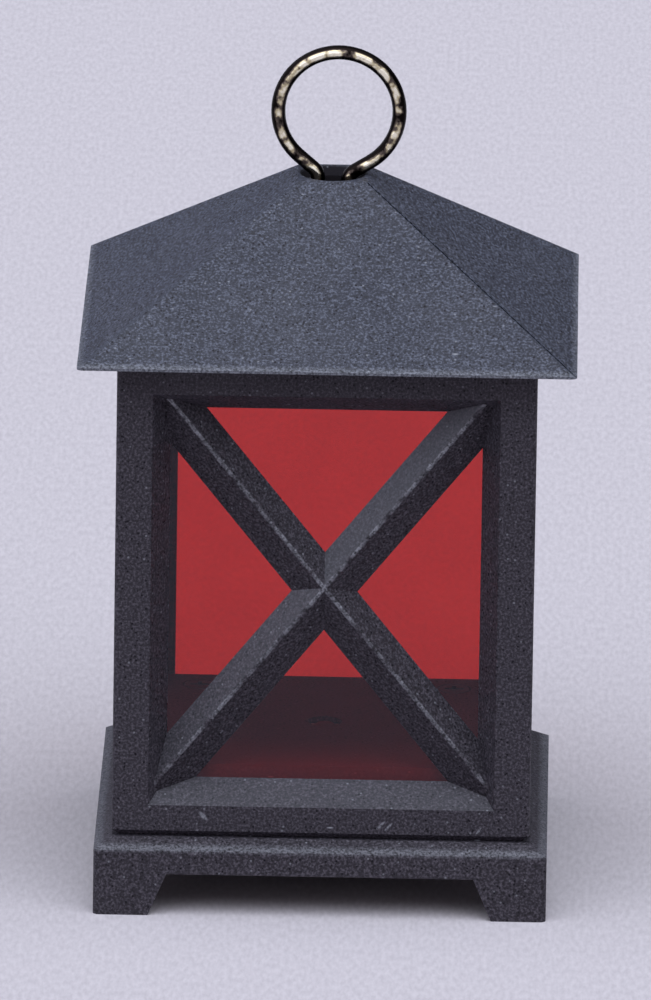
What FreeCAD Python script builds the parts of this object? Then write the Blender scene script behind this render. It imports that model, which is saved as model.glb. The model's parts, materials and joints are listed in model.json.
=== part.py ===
import FreeCAD, Part
import math
import os

# A small hanging lantern: a footed plinth, four bevelled window frames with red panes and X bars,
# a pyramid roof with a wire ring, and a coin-cell lamp below the floor of the chamber.
# Millimetres. The origin is the middle of the footprint, +Z is up and the front faces -Y.

Vector = FreeCAD.Vector

# Plinth
plinth_width = 34.7
plinth_height = 5.9
plinth_chamfer_height = 0.75
plinth_corner_radius = 0.5
foot_height = 3.3
foot_width_low = 4.2
foot_width_high = 5.6
plinth_skin = 1.1
upstand_wall = 1.2

# Walls and windows
body_width = 32.0
body_corner_radius = 0.4
body_joint_chamfer = 0.5
post_face = 2.75
bottom_rail_face = 2.5
top_rail_face = 2.55
window_height = 32.5
side_bevel_width = 1.35
bevel_width = 1.6
bevel_depth = 2.5

# Panes, held in rebates on the inner side of the walls
pane_thickness = 0.6
pane_recess = 0.1
pane_lap = 0.8
pane_clearance = 0.05

# X bars, with a roof-shaped section that stands on the pane, crossing a little above the window's middle.
# The peak is where the two slopes would meet, above the middle of the base. Its crest is rounded.
bar_width = 3.9
bar_peak = 1.75
bar_peak_offset = 0.45
bar_crest_radius = 0.3
bar_lift = 0.3

# Roof
roof_width = 38.0
eave_edge = 0.2
eave_corner_radius = 0.5
roof_rise = 10.85
roof_wall = 0.9
apex_thickness = 1.8
apex_rim = 0.15
apex_corner_radius = 0.3
rim_wall = 0.9
rim_lap = 0.55
rim_clearance = 0.1
seam_width = 0.15
seam_depth = 0.22

# Hanging ring of bent wire
ring_outer = 10.4
wire = 1.1
leg_gap = 1.2
leg_slope = 36.0
ring_lean = 4.5
leg_corner_drop = 0.02
leg_bend_inside = 0.35
leg_clearance = 0.18
mouth_depth = 0.66
hook_bend_inside = 0.25
hook_overlap = 0.9
hook_clearance = 0.1

# Floor, board and screws
floor_rise = 0.8
floor_thickness = 1.3
floor_clearance = 0.1
board_thickness = 0.6
board_margin = 0.4
post_radius = 1.7
post_inset = 1.6
screw_radius = 0.7
screw_length = 3.6
screw_head_radius = 1.2
screw_head_height = 0.55
screw_head_clearance = 0.15
screw_clearance = 0.02
screw_recess_length = 1.5
screw_recess_width = 0.35
screw_recess_depth = 0.25

# Lamp and resistor on the board
led_length = 3.5
led_width = 2.8
led_height = 0.7
led_lens_radius = 1.2
led_lens_rise = 0.55
led_clearance = 0.15
resistor_length = 2.0
resistor_width = 1.25
resistor_height = 0.5
resistor_post_gap = 3.4

# Coin cell, its holder and its contacts
cell_radius = 6.25
cell_thickness = 2.5
cell_cap_step = 0.95
cell_cap_height = 0.3
cell_centre_y = 2.0
cell_clearance = 0.1
holder_wall = 0.8
holder_gap = 0.25
contact_thickness = 0.2
contact_width = 2.0
contact_foot = 2.4
contact_slot_clearance = 0.3
contact_press_gap = 0.05
contact_tip_reach = 2.65

# Quarter-turn battery cover
cover_wall = 0.4
cover_clearance = 0.1
lug_reach = 1.0
lug_height = 0.65
lug_span = 24.0
notch_span = 30.0
lug_count = 3
cover_turn = 45.0
coin_slot_length = 8.0
coin_slot_width = 1.4
coin_slot_depth = 0.6

# Slide switch
switch_length = 7.2
switch_width = 3.2
switch_wall = 0.6
switch_margin = 0.2
switch_travel = 2.0
switch_clearance = 0.1
carriage_length = 3.2
carriage_height = 1.0
stem_length = 1.6
stem_width = 1.0
knob_drop = 1.1
knob_groove = 0.25
knob_groove_pitch = 0.75

# Places that follow from the sizes above
body_half = body_width / 2
plinth_half = plinth_width / 2
roof_half = roof_width / 2
interior_half = body_half - bevel_depth - pane_thickness - pane_recess
pane_plane = body_half - bevel_depth
window_half = body_half - post_face
opening_half = window_half - side_bevel_width
window_bottom = plinth_height + bottom_rail_face
window_top = window_bottom + window_height
opening_bottom = window_bottom + bevel_width
opening_top = window_top - bevel_width
pane_bottom = opening_bottom - pane_lap
pane_top = opening_top + pane_lap - pane_clearance

leg_x = (wire + leg_gap) / 2
hole_radius = leg_x + wire / 2 + leg_clearance
mouth_radius = hole_radius + mouth_depth
flat_half = mouth_radius + apex_rim
eave_bottom = window_top + top_rail_face
eave_top = eave_bottom + eave_edge
roof_top = eave_top + roof_rise
apex_underside = roof_top - apex_thickness
roof_pitch = math.atan2(roof_rise, roof_half - flat_half)

skin_bottom = foot_height
skin_top = foot_height + plinth_skin
upstand_half = interior_half - floor_clearance
cavity_half = upstand_half - upstand_wall
post_place = cavity_half - post_inset
resistor_place = post_place - resistor_post_gap
floor_top = opening_bottom + floor_rise
board_top = floor_top - floor_thickness
board_bottom = board_top - board_thickness

cell_bottom = skin_top + cell_clearance
cell_top = cell_bottom + cell_thickness
cover_radius = cell_radius + cell_clearance + cover_wall
cover_hole_radius = cover_radius + cover_clearance
lug_radius = cover_radius + lug_reach
lug_bottom = skin_top + cover_clearance
lug_top = lug_bottom + lug_height
holder_bottom = lug_top + holder_gap
holder_radius = cell_radius + cell_clearance + holder_wall
switch_y = switch_margin + switch_width / 2 - cavity_half
switch_bottom = skin_top + switch_margin


def box(x0, x1, y0, y1, z0, z1):
    return Part.makeBox(x1 - x0, y1 - y0, z1 - z0, Vector(x0, y0, z0))


def cylinder(radius, z0, z1, x=0, y=0):
    return Part.makeCylinder(radius, z1 - z0, Vector(x, y, z0))


def polygon_prism(points, along):
    """A closed polygon of points, pushed along a vector."""
    corners = [Vector(*p) for p in points]
    return Part.Face(Part.makePolygon(corners + corners[:1])).extrude(Vector(*along))


def square_wire(half, z, radius=0.0):
    """A square round the Z axis, with its corners rounded if a radius is given."""
    if radius <= 0:
        corners = [(-half, -half), (half, -half), (half, half), (-half, half)]
        points = [Vector(x, y, z) for x, y in corners]
        return Part.makePolygon(points + points[:1])
    flat = half - radius
    edges = []
    for side in range(4):
        turn = side * math.pi / 2
        spots = [
            (-flat, -half),
            (flat, -half),
            (flat + radius * math.sin(math.pi / 4), -flat - radius * math.cos(math.pi / 4)),
            (half, -flat),
        ]
        start, end, middle, after = [
            Vector(x * math.cos(turn) - y * math.sin(turn), x * math.sin(turn) + y * math.cos(turn), z)
            for x, y in spots
        ]
        edges.append(Part.makeLine(start, end))
        edges.append(Part.Arc(end, middle, after).toShape())
    return Part.Wire(edges)


def square_prism(half, z0, z1, radius=0.0):
    return Part.Face(square_wire(half, z0, radius)).extrude(Vector(0, 0, z1 - z0))


def square_taper(half0, z0, half1, z1, radius0=0.0, radius1=0.0):
    wires = [square_wire(half0, z0, radius0), square_wire(half1, z1, radius1)]
    return Part.makeLoft(wires, True, True)


def turned(shape, degrees):
    copy = shape.copy()
    copy.rotate(Vector(0, 0, 0), Vector(0, 0, 1), degrees)
    return copy


def corners(place):
    return [(x, y) for x in (-place, place) for y in (-place, place)]


def fused(shapes):
    return shapes[0].multiFuse(shapes[1:]).removeSplitter()


def roof_slope_half(z, inset=0.0):
    """Half the roof's width at height z, on a surface set in from its outer slope."""
    return roof_half - (z - eave_top) / math.tan(roof_pitch) - inset / math.sin(roof_pitch)


def under_roof(z0):
    """The space below the roof's inner slope and above z0."""
    low = roof_slope_half(z0, roof_wall)
    high = roof_slope_half(apex_underside, roof_wall)
    return square_taper(low, z0, high, apex_underside)


def arc_sector(radius, z0, z1, middle_angle, span):
    """A slice of a disc, centred on the cell's axis."""
    slice_shape = Part.makeCylinder(radius, z1 - z0, Vector(0, 0, z0), Vector(0, 0, 1), span)
    slice_shape.rotate(Vector(0, 0, 0), Vector(0, 0, 1), middle_angle - span / 2)
    slice_shape.translate(Vector(0, cell_centre_y, 0))
    return slice_shape


def lug_angles():
    return [90 + i * 360 / lug_count for i in range(lug_count)]


def make_plinth():
    chamfer_bottom = plinth_height - plinth_chamfer_height
    solid = fused([
        square_prism(plinth_half, 0, chamfer_bottom, plinth_corner_radius),
        square_taper(plinth_half, chamfer_bottom, body_half, plinth_height,
                     plinth_corner_radius, body_corner_radius),
        square_prism(upstand_half, chamfer_bottom, board_bottom),
    ])
    low = plinth_half - foot_width_low
    high = plinth_half - foot_width_high
    profile = [(-low, -plinth_width, 0), (low, -plinth_width, 0),
               (high, -plinth_width, foot_height), (-high, -plinth_width, foot_height)]
    arch = polygon_prism(profile, (0, 2 * plinth_width, 0))
    solid = solid.cut(arch).cut(turned(arch, 90))
    solid = solid.cut(square_prism(cavity_half, skin_top, board_bottom))
    posts = [cylinder(post_radius, skin_top, board_bottom, x, y) for x, y in corners(post_place)]
    solid = fused([solid] + posts)
    pilot_bottom = floor_top - screw_head_height - screw_length
    for x, y in corners(post_place):
        solid = solid.cut(cylinder(screw_radius + screw_clearance, pilot_bottom, board_bottom, x, y))
    solid = solid.cut(cylinder(cover_hole_radius, skin_bottom, skin_top, 0, cell_centre_y))
    for angle in lug_angles():
        notch_radius = lug_radius + cover_clearance
        solid = solid.cut(arc_sector(notch_radius, skin_bottom, skin_top, angle + cover_turn, notch_span))
    slot_half = (stem_length + switch_travel) / 2 + switch_clearance
    slot_side = stem_width / 2 + switch_clearance
    slot = box(-slot_half, slot_half, switch_y - slot_side, switch_y + slot_side, skin_bottom, skin_top)
    return solid.cut(slot)


def window_funnel():
    """The space inside the front window's bevel."""
    wires = []
    for y, half, z0, z1 in ((-body_half, window_half, window_bottom, window_top),
                            (-pane_plane, opening_half, opening_bottom, opening_top)):
        points = [Vector(-half, y, z0), Vector(half, y, z0), Vector(half, y, z1), Vector(-half, y, z1)]
        wires.append(Part.makePolygon(points + points[:1]))
    return Part.makeLoft(wires, True, True)


def make_front_wall():
    joint_top = plinth_height + body_joint_chamfer
    tube = fused([
        square_taper(body_half - body_joint_chamfer, plinth_height, body_half, joint_top,
                     body_corner_radius, body_corner_radius),
        square_prism(body_half, joint_top, roof_top, body_corner_radius),
    ])
    tube = tube.cut(square_prism(interior_half, plinth_height, roof_top))
    tube = tube.common(under_roof(plinth_height))
    sector = polygon_prism([(0, 0, 0), (-body_width, -body_width, 0), (body_width, -body_width, 0)],
                           (0, 0, roof_top))
    wall = tube.common(sector)
    rebate_half = opening_half + pane_lap
    rebate = box(-rebate_half, rebate_half, -pane_plane, -interior_half, pane_bottom, opening_top + pane_lap)
    return wall.cut(window_funnel()).cut(rebate)


def make_front_pane():
    half = opening_half + pane_lap - pane_clearance
    return box(-half, half, -pane_plane, -pane_plane + pane_thickness, pane_bottom, pane_top)


def bar_prism(rising):
    """A bar with a rounded crest along a diagonal of the front window, longer than the window."""
    up_the_bevel = bar_peak / bevel_depth
    run = opening_half + side_bevel_width * up_the_bevel
    rise = (opening_top - opening_bottom) / 2 + bevel_width * up_the_bevel
    reach = body_width + window_height
    angle = math.degrees(math.atan2(rise, run)) * (1 if rising else -1)
    section = [(-reach, 0, -bar_width / 2), (-reach, -bar_peak, bar_peak_offset),
               (-reach, 0, bar_width / 2)]
    prism = polygon_prism(section, (2 * reach, 0, 0))
    peak = min(prism.Edges, key=lambda edge: edge.CenterOfMass.y)
    prism = prism.makeFillet(bar_crest_radius, [peak])
    prism.rotate(Vector(0, 0, 0), Vector(0, 1, 0), -angle)
    prism.translate(Vector(0, -pane_plane, (opening_top + opening_bottom) / 2 + bar_lift))
    return prism


def make_front_bars():
    """The whole diagonal bar, and the two half bars that butt against it."""
    funnel = window_funnel()
    whole = bar_prism(True)
    halves = bar_prism(False).common(funnel).cut(whole)
    lower, upper = sorted(halves.Solids, key=lambda s: s.CenterOfMass.z)
    return {"bar_long": whole.common(funnel), "bar_upper": upper, "bar_lower": lower}


def make_roof():
    solid = fused([
        square_prism(roof_half, eave_bottom, eave_top, eave_corner_radius),
        square_taper(roof_half, eave_top, flat_half, roof_top, eave_corner_radius, apex_corner_radius),
    ])
    hollow = under_roof(eave_bottom)
    rim_half = interior_half - rim_clearance
    rim_bottom = pane_top - rim_lap
    rim = square_prism(rim_half, rim_bottom, roof_top).cut(
        square_prism(rim_half - rim_wall, rim_bottom, roof_top))
    rim = rim.common(under_roof(rim_bottom))
    solid = fused([solid.cut(hollow), rim])
    mouth_bottom = roof_top - mouth_depth
    mouth = Part.makeCone(hole_radius, mouth_radius, mouth_depth, Vector(0, 0, mouth_bottom))
    solid = solid.cut(cylinder(hole_radius, apex_underside, roof_top)).cut(mouth)
    return solid.cut(hip_seam())


def hip_seam():
    """A narrow slot along the front right hip."""
    outer = roof_half * math.sqrt(2)
    inner = flat_half * math.sqrt(2)
    side = -seam_width / 2
    profile = [(inner, side, roof_top - seam_depth), (outer, side, eave_top - seam_depth),
               (outer, side, eave_top + seam_depth), (inner, side, roof_top + seam_depth)]
    return turned(polygon_prism(profile, (0, seam_width, 0)), -45)


def ring_leg(hook_z, slope, loop_x, loop_z):
    """Points of one side of the ring's wire: the hook, the leg and the slope up to the loop."""
    loop_radius = (ring_outer - wire) / 2
    hook_bend = hook_bend_inside + wire / 2
    leg_bend = leg_bend_inside + wire / 2
    touch_x = loop_x + loop_radius * math.sin(slope)
    touch_z = loop_z - loop_radius * math.cos(slope)
    corner_z = touch_z - (touch_x - leg_x) * math.tan(slope)
    run_up = leg_bend * math.tan((math.pi / 2 - slope) / 2)
    bend_z = corner_z - run_up
    bend_turn = (math.pi * 1.5 + slope) / 2
    quarter = math.sqrt(0.5)
    return [
        (hole_radius + hook_overlap, hook_z),
        (leg_x + hook_bend, hook_z),
        (leg_x + hook_bend * (1 - quarter), hook_z + hook_bend * (1 - quarter)),
        (leg_x, hook_z + hook_bend),
        (leg_x, bend_z),
        (leg_x + leg_bend * (1 + math.cos(bend_turn)), bend_z + leg_bend * math.sin(bend_turn)),
        (leg_x + run_up * math.cos(slope), corner_z + run_up * math.sin(slope)),
        (touch_x, touch_z),
    ]


def leg_edges(p):
    """Line, arc, line, arc, line through the eight points of a leg, in either direction."""
    return [Part.makeLine(p[0], p[1]), Part.Arc(p[1], p[2], p[3]).toShape(), Part.makeLine(p[3], p[4]),
            Part.Arc(p[4], p[5], p[6]).toShape(), Part.makeLine(p[6], p[7])]


def make_ring():
    """One wire: a hook, a leg, the loop, and the other leg and hook. The loop leans a little to the right."""
    slope = math.radians(leg_slope)
    lean = math.radians(ring_lean)
    loop_radius = (ring_outer - wire) / 2
    hook_z = apex_underside - hook_clearance - wire / 2
    loop_rise = loop_radius * math.cos(slope) + (loop_radius * math.sin(slope) - leg_x) * math.tan(slope)
    corner_z = roof_top - leg_corner_drop
    loop_x = loop_rise * math.sin(lean)
    loop_z = corner_z + loop_rise * math.cos(lean)
    right = [Vector(x, 0, z) for x, z in ring_leg(hook_z, slope - lean, loop_x, loop_z)]
    left = [Vector(-x, 0, z) for x, z in ring_leg(hook_z, slope + lean, -loop_x, loop_z)]
    loop = Part.Arc(right[-1], Vector(loop_x, 0, loop_z + loop_radius), left[-1]).toShape()
    path = Part.Wire(leg_edges(right) + [loop] + leg_edges(left[::-1]))
    section = Part.Wire(Part.makeCircle(wire / 2, right[0], Vector(-1, 0, 0)))
    solid = path.makePipeShell([section], True, False)
    drawn = solid.Volume / (path.Length * math.pi * wire ** 2 / 4)
    print(f"ring: loop centre {loop_x:.2f}, {loop_z:.2f}, wire {path.Length:.1f}, volume ratio {drawn:.4f}")
    return solid


def make_floor_plate():
    half = interior_half - floor_clearance
    plate = square_prism(half, board_top, floor_top)
    pocket_half = led_length / 2 + led_clearance
    pocket_side = led_width / 2 + led_clearance
    pocket_top = board_top + led_height + led_clearance
    plate = plate.cut(box(-pocket_half, pocket_half, -pocket_side, pocket_side, board_top, pocket_top))
    plate = plate.cut(cylinder(led_lens_radius + led_clearance, board_top, floor_top))
    for x, y in corners(post_place):
        plate = plate.cut(cylinder(screw_radius + screw_head_clearance, board_top, floor_top, x, y))
        sink = screw_head_radius + screw_head_clearance
        plate = plate.cut(cylinder(sink, floor_top - screw_head_height, floor_top, x, y))
    return plate


def make_floor_screws():
    screws = []
    head_bottom = floor_top - screw_head_height
    for x, y in corners(post_place):
        screw = fused([
            cylinder(screw_head_radius, head_bottom, floor_top, x, y),
            cylinder(screw_radius, head_bottom - screw_length, head_bottom, x, y),
        ])
        long_half = screw_recess_length / 2
        short_half = screw_recess_width / 2
        recess_bottom = floor_top - screw_recess_depth
        for along, across in ((long_half, short_half), (short_half, long_half)):
            screw = screw.cut(box(x - along, x + along, y - across, y + across, recess_bottom, floor_top))
        screws.append(screw)
    return Part.makeCompound(screws)


def make_board():
    half = upstand_half - board_margin
    board = square_prism(half, board_bottom, board_top)
    for x, y in corners(post_place):
        board = board.cut(cylinder(screw_radius + screw_head_clearance, board_bottom, board_top, x, y))
    return board


def make_led_package():
    top = board_top + led_height
    return box(-led_length / 2, led_length / 2, -led_width / 2, led_width / 2, board_top, top)


def make_led_lens():
    """A low dome on the lamp, just below the surface of the floor."""
    top = board_top + led_height
    ball_radius = (led_lens_radius ** 2 + led_lens_rise ** 2) / (2 * led_lens_rise)
    ball = Part.makeSphere(ball_radius, Vector(0, 0, top + led_lens_rise - ball_radius))
    return ball.common(cylinder(led_lens_radius + led_lens_rise, top, top + led_lens_rise))


def make_resistor():
    x, y = resistor_place, -resistor_place
    return box(x - resistor_length / 2, x + resistor_length / 2, y - resistor_width / 2,
               y + resistor_width / 2, board_bottom - resistor_height, board_bottom)


def make_coin_cell():
    can_top = cell_top - cell_cap_height
    return fused([
        cylinder(cell_radius, cell_bottom, can_top, 0, cell_centre_y),
        cylinder(cell_radius - cell_cap_step, can_top, cell_top, 0, cell_centre_y),
    ])


def make_cell_holder():
    ring = cylinder(holder_radius, holder_bottom, board_bottom, 0, cell_centre_y)
    ring = ring.cut(cylinder(cell_radius + cell_clearance, holder_bottom, board_bottom, 0, cell_centre_y))
    slot_half = contact_width / 2 + contact_slot_clearance
    slot = box(0, holder_radius, cell_centre_y - slot_half, cell_centre_y + slot_half,
               holder_bottom, board_bottom)
    return ring.cut(slot)


def make_contact_positive():
    """A strip that stands against the rim of the cell, with a foot on the board."""
    inner = cell_radius + contact_press_gap
    low = holder_bottom + contact_thickness
    foot_low = board_bottom - contact_thickness
    profile = [(inner, low), (inner + contact_thickness, low), (inner + contact_thickness, foot_low),
               (inner + contact_foot, foot_low), (inner + contact_foot, board_bottom), (inner, board_bottom)]
    side = cell_centre_y - contact_width / 2
    return polygon_prism([(x, side, z) for x, z in profile], (0, contact_width, 0))


def make_contact_negative():
    """A leaf that reaches down from the board to the cap of the cell."""
    cap_radius = cell_radius - cell_cap_step
    foot_start = -cap_radius
    foot_end = foot_start + contact_foot
    tip_end = contact_tip_reach
    tip_start = tip_end - contact_foot
    tip_top = cell_top + contact_thickness
    foot_low = board_bottom - contact_thickness
    profile = [(foot_start, board_bottom), (foot_end, board_bottom), (tip_start, tip_top), (tip_end, tip_top),
               (tip_end, cell_top), (tip_start, cell_top), (foot_end, foot_low), (foot_start, foot_low)]
    side = cell_centre_y - contact_width / 2
    return polygon_prism([(x, side, z) for x, z in profile], (0, contact_width, 0))


def make_battery_cover():
    cover = cylinder(cover_radius, skin_bottom, lug_top, 0, cell_centre_y)
    lugs = [arc_sector(lug_radius, lug_bottom, lug_top, angle, lug_span) for angle in lug_angles()]
    cover = fused([cover] + lugs)
    cover = cover.cut(cylinder(cover_radius - cover_wall, skin_top, lug_top, 0, cell_centre_y))
    slot = box(-coin_slot_length / 2, coin_slot_length / 2, cell_centre_y - coin_slot_width / 2,
               cell_centre_y + coin_slot_width / 2, skin_bottom, skin_bottom + coin_slot_depth)
    return cover.cut(slot)


def make_switch_body():
    half = switch_length / 2
    side = switch_width / 2
    body = box(-half, half, switch_y - side, switch_y + side, switch_bottom, board_bottom)
    hollow_half = half - switch_wall
    hollow_side = side - switch_wall
    hollow = box(-hollow_half, hollow_half, switch_y - hollow_side, switch_y + hollow_side,
                 switch_bottom + switch_wall, board_bottom - switch_wall)
    slot_half = (stem_length + switch_travel) / 2 + switch_clearance
    slot_side = stem_width / 2 + switch_clearance
    slot = box(-slot_half, slot_half, switch_y - slot_side, switch_y + slot_side,
               switch_bottom, switch_bottom + switch_wall)
    return body.cut(hollow).cut(slot)


def make_switch_slider():
    """The carriage inside the switch and the stem that ends in a knob, at the off end of its travel."""
    middle = -switch_travel / 2
    carriage_bottom = switch_bottom + switch_wall + switch_clearance
    carriage_side = switch_width / 2 - switch_wall - switch_clearance
    knob_bottom = skin_bottom - knob_drop
    carriage = box(middle - carriage_length / 2, middle + carriage_length / 2, switch_y - carriage_side,
                   switch_y + carriage_side, carriage_bottom, carriage_bottom + carriage_height)
    stem = box(middle - stem_length / 2, middle + stem_length / 2, switch_y - stem_width / 2,
               switch_y + stem_width / 2, knob_bottom, carriage_bottom + carriage_height)
    slider = fused([carriage, stem])
    for offset in (-knob_groove_pitch / 2, knob_groove_pitch / 2):
        x = middle + offset
        slider = slider.cut(box(x - knob_groove / 2, x + knob_groove / 2, switch_y - stem_width,
                                switch_y + stem_width, knob_bottom, knob_bottom + knob_groove))
    return slider


def make_all():
    nodes = {"plinth": make_plinth(), "roof": make_roof(), "hanging_ring": make_ring()}
    sides = {"front": 0, "right": 90, "back": 180, "left": 270}
    wall = make_front_wall()
    pane = make_front_pane()
    bars = make_front_bars()
    for side, angle in sides.items():
        nodes[f"wall_{side}"] = turned(wall, angle)
        nodes[f"pane_{side}"] = turned(pane, angle)
        if side == "back":
            continue
        for name, bar in bars.items():
            nodes[f"{side}_{name}"] = turned(bar, angle)
    nodes["floor_plate"] = make_floor_plate()
    nodes["floor_screws"] = make_floor_screws()
    nodes["circuit_board"] = make_board()
    nodes["led_package"] = make_led_package()
    nodes["led_lens"] = make_led_lens()
    nodes["resistor"] = make_resistor()
    nodes["coin_cell"] = make_coin_cell()
    nodes["cell_holder"] = make_cell_holder()
    nodes["contact_positive"] = make_contact_positive()
    nodes["contact_negative"] = make_contact_negative()
    nodes["battery_cover"] = make_battery_cover()
    nodes["switch_body"] = make_switch_body()
    nodes["switch_slider"] = make_switch_slider()
    return nodes


os.makedirs("parts", exist_ok=True)
for node, shape in make_all().items():
    if not shape.isValid() or not shape.Solids:
        print(f"{node}: not a valid solid")
    shape.exportStep(f"parts/{node}.step")
    print(f"{node}: {len(shape.Solids)} solid, {shape.Volume:.2f} mm3")
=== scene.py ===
# %% [markdown]
# # A small hanging lantern, dressed for its picture
#
# The lantern is about 65 mm tall: a plinth on four feet, four bevelled window frames with red panes
# and crossed bars, a pyramid roof and a wire ring. Its solid pieces arrive ready made and in place.
# This lesson rounds their edges, gives each one a finish made of nodes, lights them and sets the camera.
# Blender works in metres here, so a millimetre is a named value.

# %% Load the solid pieces
import bpy
import json
import math
from mathutils import Matrix, Vector


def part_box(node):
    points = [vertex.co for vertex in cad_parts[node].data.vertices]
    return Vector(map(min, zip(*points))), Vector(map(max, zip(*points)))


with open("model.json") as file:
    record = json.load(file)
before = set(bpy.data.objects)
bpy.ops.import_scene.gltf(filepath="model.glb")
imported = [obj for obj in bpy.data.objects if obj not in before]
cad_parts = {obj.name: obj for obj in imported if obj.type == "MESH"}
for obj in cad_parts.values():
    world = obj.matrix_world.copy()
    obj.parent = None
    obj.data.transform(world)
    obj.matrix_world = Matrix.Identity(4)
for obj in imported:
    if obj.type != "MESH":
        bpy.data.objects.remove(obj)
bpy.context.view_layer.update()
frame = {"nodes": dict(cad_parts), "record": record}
nodes = frame["nodes"]
MM = 0.001

# %% [markdown]
# ## Camera
#
# The picture was taken from 15 degrees above the table with a long lens, which keeps the posts nearly
# parallel. A constraint could aim the camera, but the lantern stands slightly aslant in the frame, so the
# camera also has to turn about its own line of sight. A camera looks along its own -Z axis: here its three
# axes are built from the direction towards the object and then turned a little about that axis. The long
# lens and the distance are a pair: moving back and zooming in flattens the perspective.

# %% Set the camera
VIEW_DISTANCE = 1.4
VIEW_ELEVATION = math.radians(15.13)
VIEW_YAW = math.radians(0.72)
VIEW_ROLL = math.radians(0.86)
FAR_CLIP = 10 * VIEW_DISTANCE
LENS_MM = 653.8
AIM = Vector((-0.2, 0.0, 28.5)) * MM


def make_camera():
    level = math.cos(VIEW_ELEVATION)
    back = Vector((math.sin(VIEW_YAW) * level, -math.cos(VIEW_YAW) * level, math.sin(VIEW_ELEVATION)))
    right = Vector((math.cos(VIEW_YAW), math.sin(VIEW_YAW), 0.0))
    axes = Matrix((right, back.cross(right), back)).transposed()
    data = bpy.data.cameras.new("camera")
    data.lens = LENS_MM
    data.clip_end = FAR_CLIP
    camera = bpy.data.objects.new("camera", data)
    turn = axes.to_4x4() @ Matrix.Rotation(VIEW_ROLL, 4, "Z")
    camera.matrix_world = Matrix.Translation(AIM + VIEW_DISTANCE * back) @ turn
    bpy.context.scene.collection.objects.link(camera)
    bpy.context.scene.camera = camera
    return camera


camera = make_camera()
print("camera at", [round(v, 3) for v in camera.location], "lens", LENS_MM, "mm")

# %% [markdown]
# ## Colours and nodes
#
# Colours are written as sRGB hex, the way a picture editor shows them. Shaders want linear light, so one
# function converts them. One more function adds a node to a material: it sets the node's properties,
# fills its inputs with numbers or links, and fills a colour ramp if it is given stops. A noise pattern
# seldom leaves the middle of its range, so two named limits say where its ends are.

# %% Helpers for colours and nodes
NOISE_LOW, NOISE_HIGH = 0.3, 0.7


def linear(hex_code):
    """Linear red, green, blue and alpha of an sRGB hex colour, by the standard's own curve."""
    channels = [int(hex_code[i:i + 2], 16) / 255 for i in (1, 3, 5)]
    return [c / 12.92 if c <= 0.04045 else ((c + 0.055) / 1.055) ** 2.4 for c in channels] + [1.0]


def add(tree, kind, inputs=None, stops=None, **settings):
    """A new node. The first two stops of a ramp are its ends, and further ones lie between them."""
    node = tree.nodes.new(kind)
    for name, value in settings.items():
        setattr(node, name, value)
    for name, value in (inputs or {}).items():
        if isinstance(value, bpy.types.NodeSocket):
            tree.links.new(value, node.inputs[name])
        else:
            node.inputs[name].default_value = value
    for i, (place, hex_code) in enumerate(stops or []):
        ramp = node.color_ramp.elements
        stop = ramp[i] if i < 2 else ramp.new(place)
        stop.position = place
        stop.color = linear(hex_code)
    return node


def new_material(name):
    material = bpy.data.materials.new(name)
    material.use_nodes = True
    material.node_tree.nodes.clear()
    return material, material.node_tree


print("white is", linear("#ffffff"), "and mid grey is", [round(c, 3) for c in linear("#808080")])

# %% [markdown]
# ## Table
#
# The lantern stands on a pale lavender-grey table that fills the picture, painted and a little mottled. The
# mottle is stretched in depth, so that the low view doesn't squeeze it flat. Camera, mirror and see-through
# rays meet the table in its pale colour. Light that bounces from it up to the lantern meets a darker one, as
# it would from a sheet of paper in a dark room, which keeps the undersides dark. From below the table is
# clear, so that the underside of the lantern can be looked at too.

# %% Table
TABLE_HALF = 4.0
TABLE_MOTTLE = 0.35 * MM
TABLE_STRETCH = 0.26
TABLE_TINTS = ("#c6c4cf", "#d5d3de")
TABLE_BOUNCE = "#948890"


def seen_rays(tree):
    """1 for rays that show a thing to the eye, straight, mirrored or through a pane, and 0 for others."""
    path = add(tree, "ShaderNodeLightPath").outputs
    straight = {0: path["Is Camera Ray"], 1: path["Is Glossy Ray"]}
    seen = add(tree, "ShaderNodeMath", straight, operation="MAXIMUM").outputs[0]
    through = {0: seen, 1: path["Is Transmission Ray"]}
    return add(tree, "ShaderNodeMath", through, operation="MAXIMUM").outputs[0]


def painted_table():
    material, tree = new_material("painted_table")
    place = add(tree, "ShaderNodeTexCoord").outputs["Object"]
    longer = add(tree, "ShaderNodeMapping", {"Vector": place, "Scale": (1, TABLE_STRETCH, 1)})
    mottle = add(tree, "ShaderNodeTexNoise", {
        "Vector": longer.outputs["Vector"], "Scale": 1 / TABLE_MOTTLE, "Detail": 2.0})
    tint = add(tree, "ShaderNodeValToRGB", {"Fac": mottle.outputs["Fac"]},
               stops=list(zip((NOISE_LOW, NOISE_HIGH), TABLE_TINTS)))
    matt = add(tree, "ShaderNodeBsdfDiffuse", {"Color": tint.outputs["Color"]})
    bounce = add(tree, "ShaderNodeBsdfDiffuse", {"Color": linear(TABLE_BOUNCE)})
    mix = add(tree, "ShaderNodeMixShader", {0: seen_rays(tree), 1: bounce.outputs[0], 2: matt.outputs[0]})
    clear = add(tree, "ShaderNodeBsdfTransparent")
    back_face = add(tree, "ShaderNodeNewGeometry").outputs["Backfacing"]
    one_sided = add(tree, "ShaderNodeMixShader", {0: back_face, 1: mix.outputs[0], 2: clear.outputs[0]})
    add(tree, "ShaderNodeOutputMaterial", {"Surface": one_sided.outputs[0]})
    return material


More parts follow.
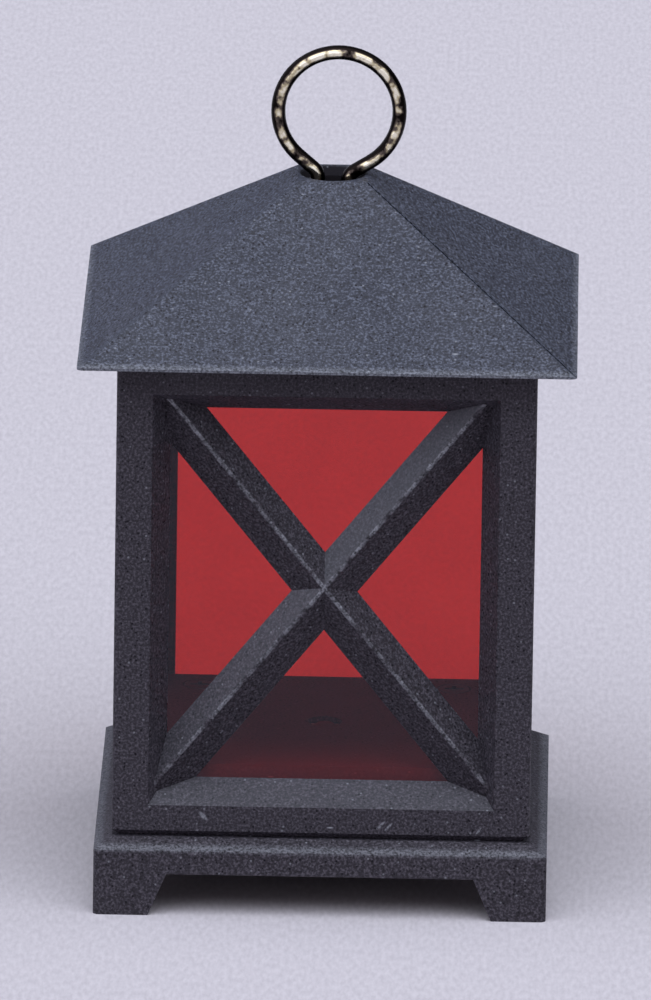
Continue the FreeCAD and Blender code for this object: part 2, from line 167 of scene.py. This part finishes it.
def make_table():
    mesh = bpy.data.meshes.new("table")
    corners = [(x * TABLE_HALF, y * TABLE_HALF, 0) for x, y in ((-1, -1), (1, -1), (1, 1), (-1, 1))]
    mesh.from_pydata(corners, [], [(0, 1, 2, 3)])
    mesh.materials.append(painted_table())
    table = bpy.data.objects.new("table", mesh)
    bpy.context.scene.collection.objects.link(table)
    return table


table = make_table()
print(table.name, "is", 2 * TABLE_HALF, "m square, of", table.data.materials[0].name)

# %% [markdown]
# ## Sky and light
#
# Two large diffusers light the lantern from high up, one on the left and a slightly stronger one on the
# right, both a little to the front. So the shadows fall softly to both sides, upward faces are bright and
# the posts stay dark. They could be area lamps, but sun lamps with a wide angle give that light evenly over
# the whole table. The world adds a fill that is stronger from the front. What glossy surfaces mirror in it is
# a glow of its own, bright on the left and in front, where a diffuser stands, and dim behind.

# %% World
FILL = "#fff2f6"
FILL_FROM = Vector((0.0, -1.0, 0.35)).normalized()
FILL_BEHIND, FILL_FRONT = 0.06, 0.45
MIRRORED = "#cdcddc"
MIRRORED_FROM = Vector((-0.7, -0.6, 0.5)).normalized()
MIRRORED_DIM, MIRRORED_BRIGHT = 0.25, 2.1
# A glow is dim from here on, as the cosine of the angle to its source
GLOW_ENDS = -0.4


def glow(tree, colour, source, dim, bright):
    towards = add(tree, "ShaderNodeTexCoord").outputs["Generated"]
    facing = add(tree, "ShaderNodeVectorMath", {0: towards, 1: source}, operation="DOT_PRODUCT")
    strength = add(tree, "ShaderNodeMapRange", {
        "Value": facing.outputs["Value"], "From Min": GLOW_ENDS, "From Max": 1.0,
        "To Min": dim, "To Max": bright}, interpolation_type="SMOOTHSTEP").outputs["Result"]
    return add(tree, "ShaderNodeBackground", {"Color": linear(colour), "Strength": strength})


def make_world():
    world = bpy.data.worlds.new("studio")
    world.use_nodes = True
    tree = world.node_tree
    tree.nodes.clear()
    fill = glow(tree, FILL, FILL_FROM, FILL_BEHIND, FILL_FRONT)
    studio = glow(tree, MIRRORED, MIRRORED_FROM, MIRRORED_DIM, MIRRORED_BRIGHT)
    mix = add(tree, "ShaderNodeMixShader", {0: seen_rays(tree), 1: fill.outputs[0], 2: studio.outputs[0]})
    add(tree, "ShaderNodeOutputWorld", {"Surface": mix.outputs[0]})
    bpy.context.scene.world = world


make_world()
print("fill:", FILL_BEHIND, "to", FILL_FRONT, "mirrored glow:", MIRRORED_DIM, "to", MIRRORED_BRIGHT)

# %% Lamps
LAMP_COLOUR = "#f6faff"
LAMP_ANGLE = math.radians(70)
LAMPS = {
    "diffuser_left": (Vector((-0.36, -0.34, 0.87)), 1.38),
    "diffuser_right": (Vector((0.36, -0.34, 0.87)), 1.58),
}


def make_lamp(name, towards, strength):
    data = bpy.data.lights.new(name, "SUN")
    data.energy = strength
    data.angle = LAMP_ANGLE
    data.color = linear(LAMP_COLOUR)[:3]
    lamp = bpy.data.objects.new(name, data)
    lamp.rotation_mode = "QUATERNION"
    lamp.rotation_quaternion = towards.to_track_quat("Z", "Y")
    bpy.context.scene.collection.objects.link(lamp)


for name, (towards, strength) in LAMPS.items():
    make_lamp(name, towards, strength)
    print(name, "shines from", [round(v, 2) for v in towards.normalized()], "at", strength)
bpy.context.scene.view_settings.view_transform = "Standard"

# %% [markdown]
# ## Spots in the plastic
#
# The frame, the roof and the plinth are moulded in black ABS, and the mould and later handling have left
# pits, flecks and scuffs in it. They could be painted on an image, but a pattern of cells needs no unwrapping
# and stays sharp from close by. A share of the cells is chosen by their random colour, and the distance from
# a chosen cell's middle gives a round spot there.

# %% Spots
def spots(tree, place, spacing, share, size):
    """Round spots in a share of a pattern's cells, 1 at the middle of a spot and 0 outside."""
    cells = add(tree, "ShaderNodeTexVoronoi", {"Vector": place, "Scale": 1 / spacing})
    chance = add(tree, "ShaderNodeSeparateColor", {"Color": cells.outputs["Color"]}).outputs["Red"]
    chosen = add(tree, "ShaderNodeMath", {0: chance, 1: share}, operation="LESS_THAN").outputs[0]
    spot = add(tree, "ShaderNodeMapRange", {"Value": cells.outputs["Distance"], "From Min": size / 2,
                                            "From Max": size, "To Min": chosen, "To Max": 0.0})
    return spot.outputs["Result"]


print("spots are ready")

# %% [markdown]
# ## Painted highlights on edges
#
# Light and shade are painted into the colour in several places: pale painted highlights along edges and
# crests, painted light on faces that look up and on the floor inside the front pane, and painted shade in the
# hole in the roof. The front wall also has real scuffs. Each of the functions in this cell and the next two
# measures one such place and gives a strength there and 0 elsewhere. They could be painted as masks, but
# measured ones follow the shape. What they share is that a few values have to lie within limits at once. The
# eave and the plinth's upper edge get their painted highlights in bands around one height, and the grain
# breaks them into specks.

# %% Painted highlights on edges
# Values of the grain between which a place breaks into specks
SPECKLED = (0.3, 0.6)
BAND_CORE = 0.3


def within(tree, limits, top=1.0):
    """The top where each value is past its end, 0 where any is at its start, and a fade between."""
    strength = top
    for value, start, end in limits:
        near = add(tree, "ShaderNodeMapRange", {"Value": value, "From Min": start, "From Max": end})
        both = add(tree, "ShaderNodeMath", {0: near.outputs["Result"], 1: strength}, operation="MULTIPLY")
        strength = both.outputs[0]
    return strength


# A pale band around one height, for a painted highlight along an edge
def band(height, half_width, top):
    def place(tree, coords, grain):
        z = add(tree, "ShaderNodeSeparateXYZ", {0: coords["Object"]}).outputs["Z"]
        above = add(tree, "ShaderNodeMath", {0: z, 1: height}, operation="SUBTRACT").outputs[0]
        away = add(tree, "ShaderNodeMath", {0: above}, operation="ABSOLUTE").outputs[0]
        return within(tree, [(away, half_width, BAND_CORE * half_width), (grain, *SPECKLED)], top)
    return place


# Painted highlights: a pale band at the eave and one at the plinth's upper edge
eave_highlight = band(43.5 * MM, 0.5 * MM, 0.42)
plinth_edge_highlight = band(5.25 * MM, 0.35 * MM, 0.33)
print("two painted edge highlights are ready")

# %% [markdown]
# ## Painted highlights and light on crests
#
# The bars' rounded crests get a painted highlight in broken pale streaks, stronger higher up. The
# crests face straight out of the wall, so the normal picks them out on the front and on the sides alike. A
# long noise and the grain break the line. The long diagonals also get painted light on their upper slopes,
# stronger higher up.

# %% Painted highlights and light on crests
STREAK = 1.1 * MM
CREST_FACES_OUT = (0.82, 0.93)
# This fade starts below the table, so that the lowest crests are pale too
CREST_HEIGHTS = (-15 * MM, 40 * MM)
CREST_STREAKS = (0.36, 0.6)
CREST_PALENESS = 0.91
# Painted light on the long diagonals' slopes that face up, stronger higher up
SLOPE_FACES_UP = (0.2, 0.4)
SLOPE_HEIGHTS = (3 * MM, 40 * MM)
SLOPE_PALENESS = 0.26


# A painted highlight in pale broken streaks along the crests, stronger higher up
def crest(tree, coords, grain):
    facing = add(tree, "ShaderNodeVectorMath", {0: coords["Normal"]}, operation="ABSOLUTE").outputs["Vector"]
    sides = add(tree, "ShaderNodeSeparateXYZ", {0: facing}).outputs
    square_on = add(tree, "ShaderNodeMath", {0: sides["X"], 1: sides["Y"]}, operation="MAXIMUM").outputs[0]
    z = add(tree, "ShaderNodeSeparateXYZ", {0: coords["Object"]}).outputs["Z"]
    streak = add(tree, "ShaderNodeTexNoise", {"Vector": coords["Object"], "Scale": 1 / STREAK, "Detail": 4.0})
    limits = [(square_on, *CREST_FACES_OUT), (z, *CREST_HEIGHTS), (grain, *SPECKLED)]
    limits.append((streak.outputs["Fac"], *CREST_STREAKS))
    return within(tree, limits, CREST_PALENESS)


# Painted light on the slopes that face up, stronger higher up, with the crests' painted highlight
def lit_slope_and_crest(tree, coords, grain):
    up = add(tree, "ShaderNodeSeparateXYZ", {0: coords["Normal"]}).outputs["Z"]
    z = add(tree, "ShaderNodeSeparateXYZ", {0: coords["Object"]}).outputs["Z"]
    lit_slope = within(tree, [(up, *SLOPE_FACES_UP), (z, *SLOPE_HEIGHTS)], SLOPE_PALENESS)
    highlit = crest(tree, coords, grain)
    return add(tree, "ShaderNodeMath", {0: lit_slope, 1: highlit}, operation="MAXIMUM").outputs[0]


print("crests are highlit in streaks of", round(STREAK / MM, 2), "mm")

# %% [markdown]
# ## Painted light, scuffs and painted shade
#
# On the walls, faces that look up are painted a little paler, as painted light from above, and the floor
# just inside the front pane is painted paler still, as painted light that comes in through the pane. The
# front wall's lower rail has a few real scuffs with places of their own: each is a leaning oval, measured in
# its own stretched space. The hole in the roof is painted dark, as painted shade, in a round place about the
# middle axis.

# %% Painted light, scuffs and painted shade
LIT_FACES_UP = (0.3, 0.6)
UPWARD_LIGHT_PALENESS = 0.1
# Painted light: the floor grows paler from the first depth to the second, towards the front pane
FLOOR_LIGHT_DEPTHS = (-5 * MM, -12 * MM)
FLOOR_LIGHT_PALENESS = 0.4
HOLE_SHADE_RADII = (2.7 * MM, 2.4 * MM)
# Scuffs are measured from a height just above the front wall's lowest point
RAIL_LIFT = 0.5 * MM
RAIL_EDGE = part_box("wall_front")[0][2] + RAIL_LIFT
# Across and up from the middle of that edge, lean, half length and half width, in mm and radians
RAIL_SCUFFS = [(-9.0, 1.2, 0.8, 0.5, 0.2), (4.6, 0.7, -0.8, 0.55, 0.12),
               (5.2, 0.6, -0.8, 0.5, 0.1), (12.1, 0.4, -0.9, 0.4, 0.1)]
SCUFF_RIM = (1.0, 0.5)
SCUFF_SPECKLED = (0.3, 0.5)
SCUFF_PALENESS = 0.6


# Painted light on faces that look up
def upward_painted_light(tree, coords, grain):
    up = add(tree, "ShaderNodeSeparateXYZ", {0: coords["Normal"]}).outputs["Z"]
    return within(tree, [(up, *LIT_FACES_UP)], UPWARD_LIGHT_PALENESS)


def rail_scuffs_and_light(tree, coords, grain):
    # Painted light on faces that look up, then the rail's real scuffs
    pale = upward_painted_light(tree, coords, grain)
    for across, up, lean, length, width in RAIL_SCUFFS:
        near = add(tree, "ShaderNodeMapping", {
            "Vector": coords["Object"], "Location": (across * MM, 0, RAIL_EDGE + up * MM),
            "Rotation": (0, lean, 0), "Scale": (length * MM, 1, width * MM)},
            vector_type="TEXTURE").outputs["Vector"]
        away = add(tree, "ShaderNodeVectorMath", {0: near}, operation="LENGTH").outputs["Value"]
        scuff = within(tree, [(away, *SCUFF_RIM), (grain, *SCUFF_SPECKLED)], SCUFF_PALENESS)
        pale = add(tree, "ShaderNodeMath", {0: pale, 1: scuff}, operation="MAXIMUM").outputs[0]
    return pale


# Painted light on the floor just inside the front pane, where light comes in through it
def front_painted_light(tree, coords, grain):
    y = add(tree, "ShaderNodeSeparateXYZ", {0: coords["Object"]}).outputs["Y"]
    return within(tree, [(y, *FLOOR_LIGHT_DEPTHS)], FLOOR_LIGHT_PALENESS)


# Painted shade: the hole in the roof is dark, in a round place about the middle axis
def roof_hole_shade(tree, coords, grain):
    flat = add(tree, "ShaderNodeVectorMath", {0: coords["Object"], 1: (1, 1, 0)}, operation="MULTIPLY")
    away = add(tree, "ShaderNodeVectorMath", {0: flat.outputs["Vector"]}, operation="LENGTH").outputs["Value"]
    return within(tree, [(away, *HOLE_SHADE_RADII)])


print("painted light and shade are ready, with", len(RAIL_SCUFFS), "scuffs on the rail")

# %% [markdown]
# ## Grain on the roof's sides
#
# The roof's side slopes show their grain as clearly as its front does, although the eye meets them at a low
# angle and would see even grain run together. So the grain is drawn longer in depth there and goes further
# from its middle tone. The normal tells the side slopes from the others, so nothing moves with the camera.

# %% Grain on the roof's sides
SIDE_SLOPE = (0.2, 0.4)
SIDE_PRESS = 0.6
SIDE_GAIN = 1.35
GRAIN_MIDDLE = 0.5


def on_side_slopes(tree, coords, number):
    """The number on slopes that face sideways, and 1 elsewhere."""
    facing = add(tree, "ShaderNodeVectorMath", {0: coords["Normal"]}, operation="ABSOLUTE").outputs["Vector"]
    sideways = add(tree, "ShaderNodeSeparateXYZ", {0: facing}).outputs["X"]
    start, end = SIDE_SLOPE
    chosen = add(tree, "ShaderNodeMapRange", {"Value": sideways, "From Min": start, "From Max": end,
                                              "To Min": 1.0, "To Max": number})
    return chosen.outputs["Result"]


def drawn_out(tree, coords):
    """The place, pressed together along y on the side slopes, so the grain there is longer."""
    press = on_side_slopes(tree, coords, SIDE_PRESS)
    scale = add(tree, "ShaderNodeCombineXYZ", {"X": 1.0, "Y": press, "Z": 1.0}).outputs["Vector"]
    pressed = add(tree, "ShaderNodeVectorMath", {0: coords["Object"], 1: scale}, operation="MULTIPLY")
    return pressed.outputs["Vector"]


def stronger(tree, coords, grain):
    """The grain, further from its middle on the side slopes."""
    gain = on_side_slopes(tree, coords, SIDE_GAIN)
    off = add(tree, "ShaderNodeMath", {0: grain, 1: GRAIN_MIDDLE}, operation="SUBTRACT").outputs[0]
    further = {0: off, 1: gain, 2: GRAIN_MIDDLE}
    return add(tree, "ShaderNodeMath", further, operation="MULTIPLY_ADD").outputs[0]


print("side slopes have grain", round(1 / SIDE_PRESS, 2), "times as long")

# %% [markdown]
# ## Moulded black ABS
#
# The plastic comes from a mould with an eroded, sandy surface. The eye sees a dark slate colour, broken by
# fine light and dark specks, with a dull sheen. Noise as wide as the grain gives the specks and the bump, and
# a wide noise keeps the sheen of large faces from being even. Dark pits, and the painted shade in the roof's
# hole, are quite matt, so they also raise the roughness. An eroded mould's grain is nearer 0.1 mm, which is
# too fine to show in the render, so it is drawn twice as coarse.

# %% Marks on the plastic
# Spacing of the cells, share of them that has a spot, and size of the spot in cells
PITS = (0.4 * MM, 0.5, 0.3)
FLECKS = (0.6 * MM, 0.3, 0.18)
SCUFFS = (2.5 * MM, 0.15, 0.07)
SCUFF_LEAN = 0.8
SCUFF_PRESS = (0.5, 0.5, 2)
FLECK_PALENESS = 0.45


def marks(tree, coords, place, grain, pale_place, dark_place):
    """How dark the pits and the painted shade are, and how pale the flecks, scuffs, painted highlights and
    painted light.
    """
    dark = spots(tree, place, *PITS)
    if dark_place:
        # Painted shade, where a finish has it, is as dark as a pit
        painted_shade = dark_place(tree, coords, grain)
        dark = add(tree, "ShaderNodeMath", {0: dark, 1: painted_shade}, operation="MAXIMUM").outputs[0]
    lean = {"Vector": place, "Rotation": (0, SCUFF_LEAN, 0), "Scale": SCUFF_PRESS}
    scuffs = spots(tree, add(tree, "ShaderNodeMapping", lean).outputs["Vector"], *SCUFFS)
    # Painted highlights and painted light, and on the front rail real scuffs as well
    highlit = pale_place(tree, coords, grain)
    scuffed_and_highlit = add(tree, "ShaderNodeMath", {0: scuffs, 1: highlit}, operation="MAXIMUM").outputs[0]
    flecks = {0: spots(tree, place, *FLECKS), 1: FLECK_PALENESS, 2: scuffed_and_highlit}
    pale = add(tree, "ShaderNodeMath", flecks, operation="MULTIPLY_ADD", use_clamp=True).outputs[0]
    return dark, pale


print("pits are", round(PITS[0] / MM, 2), "mm apart, flecks", round(FLECKS[0] / MM, 2), "mm")

# %% Moulded black ABS
GRAIN = 0.2 * MM
GRAIN_DEPTH = 0.05 * MM
GRAIN_BUMP = 0.5
GRAIN_SHARPNESS = 0.65
CLOUD = 7.0 * MM
# The pale colour serves flecks, scuffs, painted highlights and painted light; the dark one serves pits and
# painted shade
PALE, PIT_AND_SHADE = "#9ba1ae", "#14121a"
SHEEN_SMOOTH, SHEEN_DULL = 0.5, 0.65
ABS_IOR = 1.53


def moulded_abs(name, tones, gloss, pale_place, dark_place=None, sloping=False):
    """Black ABS. The tones are those of the grain: dark, light and middle."""
    material, tree = new_material(name)
    coords = add(tree, "ShaderNodeTexCoord").outputs
    place = drawn_out(tree, coords) if sloping else coords["Object"]
    grain = add(tree, "ShaderNodeTexNoise", {"Vector": place, "Scale": 1 / GRAIN, "Detail": 2.0,
                                             "Roughness": GRAIN_SHARPNESS}).outputs["Fac"]
    cloud = add(tree, "ShaderNodeTexNoise", {"Vector": place, "Scale": 1 / CLOUD, "Detail": 3.0})
    contrast = stronger(tree, coords, grain) if sloping else grain
    specks = add(tree, "ShaderNodeValToRGB", {"Fac": contrast},
                 stops=list(zip((NOISE_LOW, NOISE_HIGH, GRAIN_MIDDLE), tones))).outputs["Color"]
    dark, pale = marks(tree, coords, place, grain, pale_place, dark_place)
    # Inputs 6 and 7 of a Mix node are its two colours, and output 2 is their mixture
    pitted = add(tree, "ShaderNodeMix", {0: dark, 6: specks, 7: linear(PIT_AND_SHADE)}, data_type="RGBA")
    colour = add(tree, "ShaderNodeMix", {0: pale, 6: pitted.outputs[2], 7: linear(PALE)}, data_type="RGBA")
    even = add(tree, "ShaderNodeMapRange", {
        "Value": cloud.outputs["Fac"], "From Min": NOISE_LOW, "From Max": NOISE_HIGH,
        "To Min": SHEEN_SMOOTH, "To Max": SHEEN_DULL})
    dull = add(tree, "ShaderNodeMath", {0: even.outputs["Result"], 1: dark}, operation="MAXIMUM").outputs[0]
    bump = add(tree, "ShaderNodeBump", {"Height": grain, "Strength": GRAIN_BUMP, "Distance": GRAIN_DEPTH})
    plastic = add(tree, "ShaderNodeBsdfPrincipled", {
        "Base Color": colour.outputs[2], "Roughness": dull, "Normal": bump.outputs["Normal"],
        "IOR": ABS_IOR, "Specular IOR Level": gloss})
    add(tree, "ShaderNodeOutputMaterial", {"Surface": plastic.outputs["BSDF"]})
    return material


print("grain is", round(GRAIN / MM, 2), "mm wide")

# %% [markdown]
# ## Seven black finishes
#
# The roof is a little glossier than the walls, and its tones are painted bluer, as the cool light from above
# falls on it, so it has tones of its own. The finishes differ otherwise only in where they have painted
# highlights, painted light or painted shade, and in the front wall's scuffs. One finish with seven masks
# could do it, but seven short calls are easier to read and to change.

# %% Seven black finishes
# The roof's tones are painted bluer, as the cool light from above falls on it
ROOF_COOL_LIT_TONES = ("#0e1119", "#61687a", "#2c303e")
WALL_TONES = ("#161419", "#5b5964", "#33313a")
ROOF_GLOSS, WALL_GLOSS = 0.35, 0.25

roof_abs = moulded_abs("sandy_black_abs", ROOF_COOL_LIT_TONES, ROOF_GLOSS, eave_highlight, roof_hole_shade, sloping=True)
plinth_abs = moulded_abs("edge_highlit_black_abs", WALL_TONES, WALL_GLOSS, plinth_edge_highlight)
bar_abs = moulded_abs("crest_highlit_black_abs", WALL_TONES, WALL_GLOSS, crest)
long_bar_abs = moulded_abs("slope_lit_black_abs", WALL_TONES, WALL_GLOSS, lit_slope_and_crest)
floor_abs = moulded_abs("floor_black_abs", WALL_TONES, WALL_GLOSS, front_painted_light)
front_abs = moulded_abs("scuffed_black_abs", WALL_TONES, WALL_GLOSS, rail_scuffs_and_light)
wall_abs = moulded_abs("moulded_black_abs", WALL_TONES, WALL_GLOSS, upward_painted_light)
print("made seven finishes of black ABS, from", roof_abs.name, "to", wall_abs.name)

# %% [markdown]
# ## Red acrylic sheet
#
# The panes are thin, clear red sheet. What the eye sees through two of them is the pale table behind,
# turned a deep even red, with a faint grey reflection of the table in front laid over it. A Transparent
# shader tints what passes straight through, once at each face, and a Glossy one adds the reflection, more of
# it at low angles. That also lets the lamps' light into the chamber, which a refracting glass would keep out.
# Rays don't bend here, so only the outer faces mirror: inside the sheet, slanting rays would all be turned
# back.

# %% Red acrylic sheet
WAVE = 5.0 * MM
WAVE_DEPTH = 0.1 * MM
WAVE_BUMP = 0.2
SHEET_TINTS = ("#efa9a5", "#f1aca7")
SHEET_MIRROR = "#eeeeff"
SHEET_ROUGHNESS = 0.08
ACRYLIC_IOR = 1.49


def red_sheet(name):
    material, tree = new_material(name)
    place = add(tree, "ShaderNodeTexCoord").outputs["Object"]
    wave = add(tree, "ShaderNodeTexNoise", {"Vector": place, "Scale": 1 / WAVE, "Detail": 1.0}).outputs["Fac"]
    bump = add(tree, "ShaderNodeBump", {"Height": wave, "Strength": WAVE_BUMP, "Distance": WAVE_DEPTH})
    tint = add(tree, "ShaderNodeValToRGB", {"Fac": wave},
               stops=list(zip((NOISE_LOW, NOISE_HIGH), SHEET_TINTS)))
    clear = add(tree, "ShaderNodeBsdfTransparent", {"Color": tint.outputs["Color"]})
    gloss = add(tree, "ShaderNodeBsdfGlossy", {"Color": linear(SHEET_MIRROR), "Roughness": SHEET_ROUGHNESS,
                                              "Normal": bump.outputs["Normal"]})
    low_angle = add(tree, "ShaderNodeFresnel", {"IOR": ACRYLIC_IOR, "Normal": bump.outputs["Normal"]})
    back_face = add(tree, "ShaderNodeNewGeometry").outputs["Backfacing"]
    outside = add(tree, "ShaderNodeMath", {0: 1.0, 1: back_face}, operation="SUBTRACT").outputs[0]
    share = add(tree, "ShaderNodeMath", {0: low_angle.outputs[0], 1: outside}, operation="MULTIPLY")
    mix = add(tree, "ShaderNodeMixShader", {0: share.outputs[0], 1: clear.outputs[0], 2: gloss.outputs[0]})
    add(tree, "ShaderNodeOutputMaterial", {"Surface": mix.outputs[0]})
    return material


red_acrylic = red_sheet("red_acrylic_sheet")
print("made", red_acrylic.name)

# %% [markdown]
# ## Wire
#
# The ring is brass-plated steel wire, bent with pliers and tarnished. The eye sees a bright, warm, broken
# streak along the middle of the wire, between brown-black sides. Both are painted into the colour: the streak
# is a painted reflection on the sides that face out of the loop's plane, where the normal points along y, and
# the sides between are painted dark, as a dark reflection. Patches of tarnish break the streak, and the ramp
# goes from black through dull bronze and cream to almost white.

# %% Tarnished wire
TARNISH = 0.9 * MM
TARNISH_DEPTH = 0.1 * MM
TARNISH_BUMP = 0.4
# Where the normal is this close to y the wire has a painted reflection, and elsewhere painted dark sides
GLINT_FACING = (0.72, 0.97)
TARNISH_GONE = (0.3, 0.62)
TARNISH_THICK, TARNISH_THIN = 0.35, 0.65
# The black end serves tarnish and the painted dark sides, and the near-white end the painted reflection
WIRE_STOPS = [(0.2, "#14100f"), (0.95, "#fff8e0"), (0.45, "#5d534c"), (0.65, "#c6b995")]
WIRE_DULL, WIRE_BRIGHT = 0.3, 0.14


def tarnished_wire(name):
    material, tree = new_material(name)
    coords = add(tree, "ShaderNodeTexCoord").outputs
    stain = add(tree, "ShaderNodeTexNoise", {"Vector": coords["Object"], "Scale": 1 / TARNISH,
                                             "Detail": 3.0}).outputs["Fac"]
    facing = add(tree, "ShaderNodeSeparateXYZ", {0: coords["Normal"]}).outputs["Y"]
    side_on = add(tree, "ShaderNodeMath", {0: facing}, operation="ABSOLUTE").outputs[0]
    # A painted reflection on the sides that face along y, broken by the tarnish
    painted_glint = within(tree, [(side_on, *GLINT_FACING), (stain, *TARNISH_GONE)])
    colour = add(tree, "ShaderNodeValToRGB", {"Fac": painted_glint}, stops=WIRE_STOPS)
    dull = add(tree, "ShaderNodeMapRange", {
        "Value": stain, "From Min": TARNISH_THICK, "From Max": TARNISH_THIN,
        "To Min": WIRE_DULL, "To Max": WIRE_BRIGHT})
    bump = add(tree, "ShaderNodeBump", {"Height": stain, "Strength": TARNISH_BUMP, "Distance": TARNISH_DEPTH})
    metal = add(tree, "ShaderNodeBsdfPrincipled", {
        "Base Color": colour.outputs["Color"], "Metallic": 1.0, "Roughness": dull.outputs["Result"],
        "Normal": bump.outputs["Normal"]})
    add(tree, "ShaderNodeOutputMaterial", {"Surface": metal.outputs["BSDF"]})
    return material


ring_wire = tarnished_wire("tarnished_plated_wire")
print("made", ring_wire.name)

# %% [markdown]
# ## Small parts inside
#
# The lamp, its board, the cell and the switch are hidden in the plinth, and only the undersides and the
# lamp's dark lens can be seen. Each could have a recipe of its own, but so little of them shows that they
# share one: a noise as wide as the material's own texture runs between two tones and also moves the roughness
# and the height a little. The values say what each one is. The metals keep their colour in the reflection,
# which is what makes the eye read them as metal.

# %% Small parts inside
INNER_RELIEF = 0.03 * MM
INNER_BUMP = 0.3
INNER_SPREAD = 0.15


def inner_finish(name, dark, light, texture, roughness, metallic=0.0, ior=1.5):
    material, tree = new_material(name)
    place = add(tree, "ShaderNodeTexCoord").outputs["Object"]
    noise = add(tree, "ShaderNodeTexNoise", {
        "Vector": place, "Scale": 1 / texture, "Detail": 3.0}).outputs["Fac"]
    tone = add(tree, "ShaderNodeValToRGB", {"Fac": noise}, stops=[(NOISE_LOW, dark), (NOISE_HIGH, light)])
    dull = add(tree, "ShaderNodeMapRange", {
        "Value": noise, "From Min": NOISE_LOW, "From Max": NOISE_HIGH,
        "To Min": (1 - INNER_SPREAD) * roughness, "To Max": (1 + INNER_SPREAD) * roughness})
    bump = add(tree, "ShaderNodeBump", {"Height": noise, "Strength": INNER_BUMP, "Distance": INNER_RELIEF})
    surface = add(tree, "ShaderNodeBsdfPrincipled", {
        "Base Color": tone.outputs["Color"], "Roughness": dull.outputs["Result"], "Metallic": metallic,
        "IOR": ior, "Normal": bump.outputs["Normal"]})
    add(tree, "ShaderNodeOutputMaterial", {"Surface": surface.outputs["BSDF"]})
    return material


INNER = {
    "screw_steel": inner_finish("blackened_steel", "#29282b", "#3d3c40", 0.3 * MM, 0.4, metallic=1.0),
    "board_laminate": inner_finish("green_solder_mask", "#143c1e", "#1d552b", 0.9 * MM, 0.35),
    "lamp_plastic": inner_finish("white_lamp_housing", "#d8d5cb", "#e5e2d9", 0.4 * MM, 0.5, ior=1.57),
    "lamp_lens": inner_finish("smoked_silicone", "#383238", "#484148", 0.3 * MM, 0.35, ior=1.41),
    "resistor_body": inner_finish("glazed_ceramic", "#1b1b1d", "#2b2b2e", 0.3 * MM, 0.25, ior=1.76),
    "cell_steel": inner_finish("nickel_plated_steel", "#b3b0a8", "#c7c4bc", 0.5 * MM, 0.28, metallic=1.0),
    "holder_plastic": inner_finish("black_nylon", "#1c1c1e", "#29292c", 0.4 * MM, 0.5, ior=1.53),
    "contact_metal": inner_finish("phosphor_bronze", "#a9764a", "#c4905f", 0.5 * MM, 0.32, metallic=1.0),
    "switch_plastic": inner_finish("black_acetal", "#17171a", "#242428", 0.4 * MM, 0.4, ior=1.48),
}
print("made", [material.name for material in INNER.values()])

# %% [markdown]
# ## Giving out the finishes
#
# The record that came with the pieces names a material slot for each of them, so the finishes are handed
# out by slot. Some pieces in the black plastic slot have a finish of their own, with their own painted
# highlights, painted light or painted shade.

# %% Hand out the finishes
FINISHES = {"black_plastic": wall_abs, "red_plastic": red_acrylic, "ring_wire": ring_wire, **INNER}
OWN_FINISHES = {"roof": roof_abs, "plinth": plinth_abs, "floor_plate": floor_abs, "wall_front": front_abs}
for side in ("front", "right", "left"):
    OWN_FINISHES[side + "_bar_long"] = long_bar_abs
    OWN_FINISHES[side + "_bar_upper"] = bar_abs
    OWN_FINISHES[side + "_bar_lower"] = bar_abs


def dress(node, slot):
    mesh = nodes[node].data
    mesh.materials.clear()
    mesh.materials.append(OWN_FINISHES.get(node, FINISHES[slot]))


for subpart in frame["record"]["subparts"]:
    dress(subpart["node"], subpart["material_slot"])

# %% [markdown]
# ## Rounded edges
#
# A moulded edge is never quite sharp, and a thin line of light runs along it. The solids could have rounded
# edges of their own, but a Bevel modifier leaves their meshes as they came and is quick to change. The bars
# have rounded crests already, so they are left as they are.

# %% Round the edges
EDGE_RADIUS = 0.12 * MM
EDGE_SEGMENTS = 2
EDGE_ANGLE = math.radians(25)
ROUNDED = (roof_abs, plinth_abs, floor_abs, front_abs, wall_abs)

for piece in nodes.values():
    if piece.data.materials[0] in ROUNDED:
        rounding = piece.modifiers.new("edge", "BEVEL")
        rounding.width = EDGE_RADIUS
        rounding.segments = EDGE_SEGMENTS
        rounding.limit_method = "ANGLE"
        rounding.angle_limit = EDGE_ANGLE
        rounding.harden_normals = True
print("rounded edges by", EDGE_RADIUS / MM, "mm")
